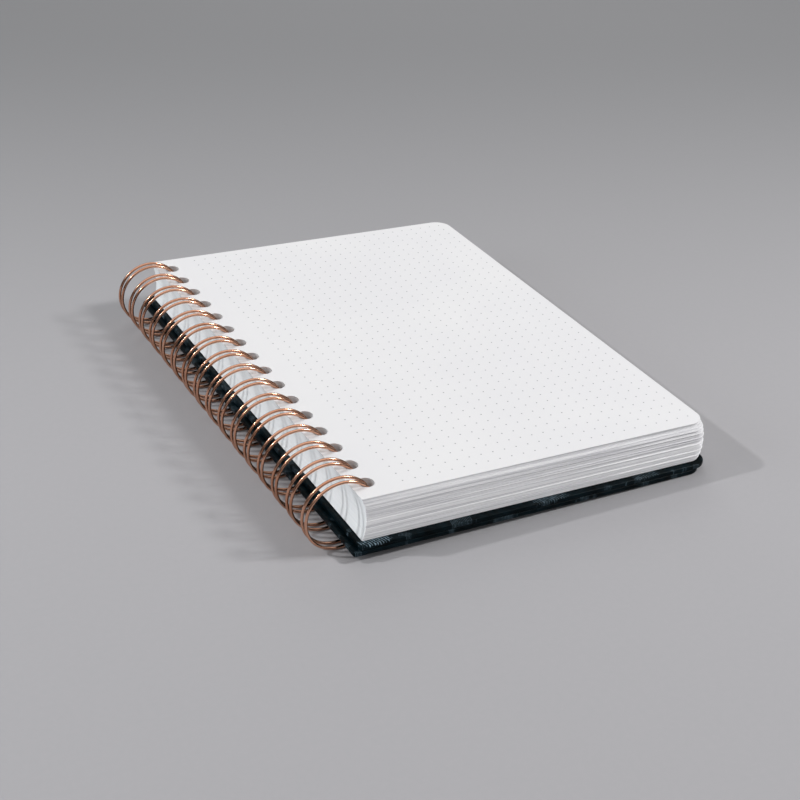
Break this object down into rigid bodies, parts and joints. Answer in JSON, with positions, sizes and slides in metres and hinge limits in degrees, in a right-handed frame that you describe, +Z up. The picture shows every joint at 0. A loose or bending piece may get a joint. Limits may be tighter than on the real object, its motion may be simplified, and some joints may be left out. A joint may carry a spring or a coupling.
{
  "type": "spiral notebook",
  "caption": "Hard-cover notebook on a closed twin-loop wire, with its front cover turned round under the back cover and its first dotted page facing up.",
  "frame": {"origin": "centre of the underside of the bounding box, on the surface the notebook lies on", "axes": "+X from the wire to the fore-edge, +Y along the spine towards the head of the page, +Z up out of the open page"},
  "size_m": [0.1732, 0.2152, 0.0286],
  "materials": {
    "sheets": "matt uncoated white, faint grey dot grid",
    "wire": "satin-bright copper coating",
    "back_board": "matt laminated near-black blue print",
    "front_board": "matt laminated near-black blue print"
  },
  "bodies": {
    "bound_block": {"page_block": "sheets", "wire_binding": "wire"},
    "back_board": {"back_cover": "back_board"},
    "front_board": {"front_cover": "front_board"}
  },
  "joints": [
    {"name": "back_cover_turn", "type": "hinge", "parent": "bound_block", "child": "back_board", "pos_m": [-0.07229, 0, 0.0143], "axis": [0, 1, 0], "range_deg": [0, 90]},
    {"name": "front_cover_turn", "type": "hinge", "parent": "back_board", "child": "front_board", "pos_m": [-0.07229, 0, 0.0143], "axis": [0, 1, 0], "range_deg": [0, 100]}
  ]
}
